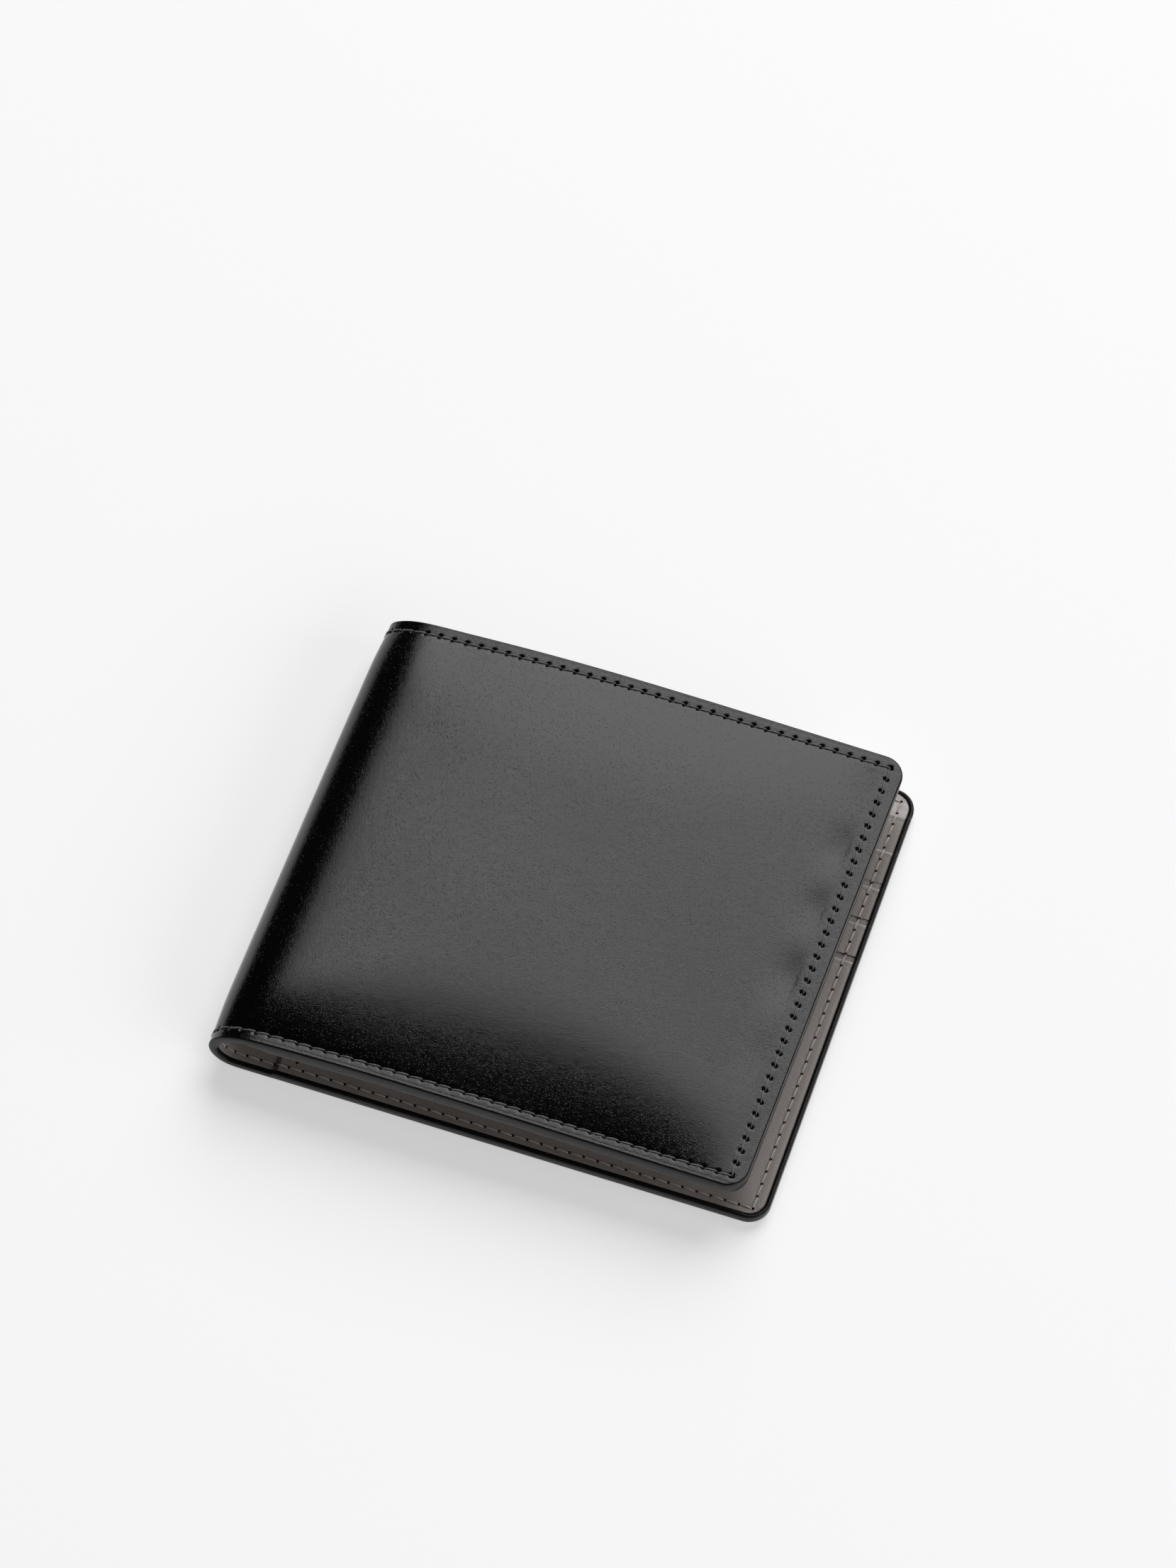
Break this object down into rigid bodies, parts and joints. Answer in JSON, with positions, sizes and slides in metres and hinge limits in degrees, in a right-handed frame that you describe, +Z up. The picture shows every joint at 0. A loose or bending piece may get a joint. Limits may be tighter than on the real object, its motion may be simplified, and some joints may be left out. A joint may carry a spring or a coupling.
{
  "type": "bifold wallet",
  "caption": "Slim stitched leather bifold wallet, lying slightly open: padded cover, open-topped bill compartment and stepped card pockets on both inner halves.",
  "frame": {"origin": "centre of the bounding box, on the surface that the wallet lies on", "axes": "+Z up from the back half to the front half, +X from the fold to the free edges, +Y towards the open top of the bill compartment"},
  "size_m": [0.107, 0.096, 0.0133],
  "materials": {
    "cover_leather": "satin",
    "inner_leather": "matte",
    "lining_fabric": "matte",
    "padding": "matte",
    "outer_thread": "satin",
    "inner_thread": "matte"
  },
  "bodies": {
    "back_half": {"cover_back": "cover_leather", "padding_back": "padding", "lining_back": "lining_fabric", "billfold_wall_back": "inner_leather", "slip_pocket_back": "inner_leather", "card_pocket_back_1": "inner_leather", "card_pocket_back_2": "inner_leather", "card_pocket_back_3": "inner_leather", "card_pocket_back_4": "inner_leather", "needle_thread_back": "outer_thread", "bobbin_thread_back": "inner_thread", "panel_thread_back": "inner_thread"},
    "spine": {"cover_spine": "cover_leather", "lining_spine": "lining_fabric", "billfold_wall_spine": "inner_leather", "needle_thread_spine_top": "outer_thread", "needle_thread_spine_bottom": "outer_thread"},
    "front_half": {"cover_front": "cover_leather", "padding_front": "padding", "lining_front": "lining_fabric", "billfold_wall_front": "inner_leather", "slip_pocket_front": "inner_leather", "card_pocket_front_1": "inner_leather", "card_pocket_front_2": "inner_leather", "card_pocket_front_3": "inner_leather", "card_pocket_front_4": "inner_leather", "needle_thread_front": "outer_thread", "bobbin_thread_front": "inner_thread", "panel_thread_front": "inner_thread"}
  },
  "joints": [
    {"name": "fold_back", "type": "hinge", "parent": "back_half", "child": "spine", "pos_m": [-0.05189, 0, 0.00221], "axis": [0, -1, 0], "range_deg": [-1.2, 90], "stiffness_Nm_per_rad": 0.01, "springref_deg": 50.48},
    {"name": "fold_front", "type": "hinge", "parent": "spine", "child": "front_half", "pos_m": [-0.05189, 0, 0.01109], "axis": [0, -1, 0], "range_deg": [-1.2, 90], "stiffness_Nm_per_rad": 0.01, "springref_deg": 50.48}
  ],
  "couplings": [
    {"joint": "fold_front", "follows": "fold_back", "ratio": 1}
  ]
}
